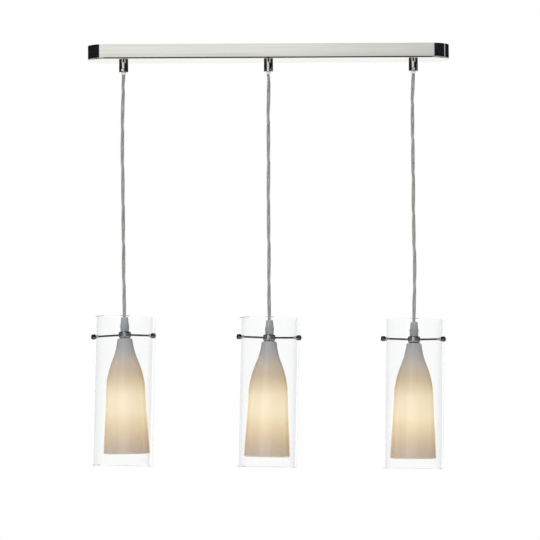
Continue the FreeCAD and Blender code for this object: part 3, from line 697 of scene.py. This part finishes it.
def mirrored_ground(sky, turned, elevation):
    """The lower half of the studio as polished surfaces see it."""
    dark, light = DARK_FLOOR_COLOUR, LIGHT_FLOOR_COLOUR
    ground = sky.mix(sky.rise(turned, *DARK_STRIP_AZIMUTH), dark, light)
    ground = sky.mix(sky.rise(turned, *DARK_SIDE_AZIMUTH), ground, dark)
    beside = sky.both(
        sky.rise(turned, *LIGHT_SIDE_AZIMUTH),
        sky.band(elevation, *LIGHT_SIDE_ELEVATION, LIGHT_SIDE_EDGE),
    )
    ground = sky.mix(beside, ground, light)
    behind = sky.both(
        sky.rise(turned, *BACK_FLOOR_AZIMUTH),
        sky.rise(elevation, *BACK_FLOOR_ELEVATION),
    )
    return sky.mix(behind, ground, BACK_FLOOR_LIGHT)


def mirrored_room(sky, azimuth, elevation):
    """The dark room with its light cards, as polished surfaces see it."""
    turned = sky.math("ABSOLUTE", azimuth)
    wall = sky.mix(sky.rise(elevation, *LOW_ROOM_TOP), LOW_ROOM_COLOUR, ROOM_COLOUR)
    ground = mirrored_ground(sky, turned, elevation)
    room = sky.mix(sky.rise(elevation, *HORIZON), ground, wall)
    level = sky.band(elevation, *CARD_ELEVATION, CARD_LEVEL_EDGE)
    card = sky.both(level, sky.band(azimuth, *CARD_AZIMUTH, CARD_SIDE_EDGE))
    tall_card = sky.both(
        sky.band(elevation, *TALL_CARD_ELEVATION, CARD_LEVEL_EDGE),
        sky.band(azimuth, *TALL_CARD_AZIMUTH, CARD_SIDE_EDGE),
    )
    faded = [CARD_FADE * part for part in CARD_COLOUR]
    tone = sky.mix(sky.rise(azimuth, *CARD_FADE_AZIMUTH), CARD_COLOUR, faded)
    room = sky.mix(sky.either(card, tall_card), room, tone)
    strip = sky.both(level, sky.band(azimuth, *STRIP_AZIMUTH, STRIP_EDGE))
    room = sky.mix(strip, room, STRIP_LIGHT)
    back = sky.both(
        sky.unless(sky.rise(elevation, *BACK_TOP)), sky.rise(turned, *BACK_AZIMUTH)
    )
    low_back = sky.both(
        sky.unless(sky.rise(elevation, *LOW_BACK_TOP)),
        sky.rise(turned, *LOW_BACK_AZIMUTH),
    )
    return sky.mix(sky.either(back, low_back), room, BACK_LIGHT)


def scattered_light(sky, direction):
    """The light on matt surfaces, a little stronger from the upper left in front."""
    facing = sky.node("ShaderNodeVectorMath", operation="DOT_PRODUCT")
    sky.feed(facing.inputs[0], direction)
    sky.feed(facing.inputs[1], SOFT_LIGHT_FROM)
    return sky.mix(sky.rise(facing.outputs["Value"], -1.0, 1.0), *SOFT_LIGHT)


def by_ray(sky, room, soft):
    """White behind the object, the room in what is polished, soft light elsewhere."""
    rays = sky.node("ShaderNodeLightPath")
    scattered = sky.math("MINIMUM", 1.0, rays.outputs["Diffuse Depth"])
    mirrored = sky.math("MINIMUM", 1.0, rays.outputs["Glossy Depth"])
    straight = sky.unless(sky.either(mirrored, scattered))
    through = sky.both(rays.outputs["Is Transmission Ray"], straight)
    behind = sky.either(rays.outputs["Is Camera Ray"], through)
    polished = sky.both(
        sky.either(rays.outputs["Is Glossy Ray"], mirrored), sky.unless(scattered)
    )
    return sky.mix(behind, sky.mix(polished, soft, room), 1.0)


def set_studio():
    """The studio's light: the world round the object and three soft lamps."""
    sky = Sky()
    direction = sky.node("ShaderNodeTexCoord").outputs["Generated"]
    toward = sky.node("ShaderNodeSeparateXYZ")
    sky.feed(toward.inputs["Vector"], direction)
    across, depth, height = (toward.outputs[axis] for axis in "XYZ")
    turn = sky.math("ARCTAN2", across, sky.math("MULTIPLY", depth, -1.0))
    azimuth = sky.math("DEGREES", turn)
    elevation = sky.math("DEGREES", sky.math("ARCSINE", height))
    room = mirrored_room(sky, azimuth, elevation)
    background = sky.node("ShaderNodeBackground")
    light = by_ray(sky, room, scattered_light(sky, direction))
    sky.feed(background.inputs["Color"], light)
    output = sky.node("ShaderNodeOutputWorld")
    sky.feed(output.inputs["Surface"], background.outputs["Background"])
    for name, (place, side, power) in SOFT_LAMPS.items():
        soft_lamp(name, place, side, power)
    bpy.context.scene.view_settings.view_transform = "Standard"


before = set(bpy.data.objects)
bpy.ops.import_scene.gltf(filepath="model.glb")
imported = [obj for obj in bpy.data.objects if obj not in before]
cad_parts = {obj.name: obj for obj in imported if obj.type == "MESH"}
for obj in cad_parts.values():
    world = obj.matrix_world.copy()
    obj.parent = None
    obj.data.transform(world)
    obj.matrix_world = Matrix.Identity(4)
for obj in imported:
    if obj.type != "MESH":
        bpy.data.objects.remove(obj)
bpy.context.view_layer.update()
set_camera()
hang_cords()
dress(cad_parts)
lay_floor()
set_studio()
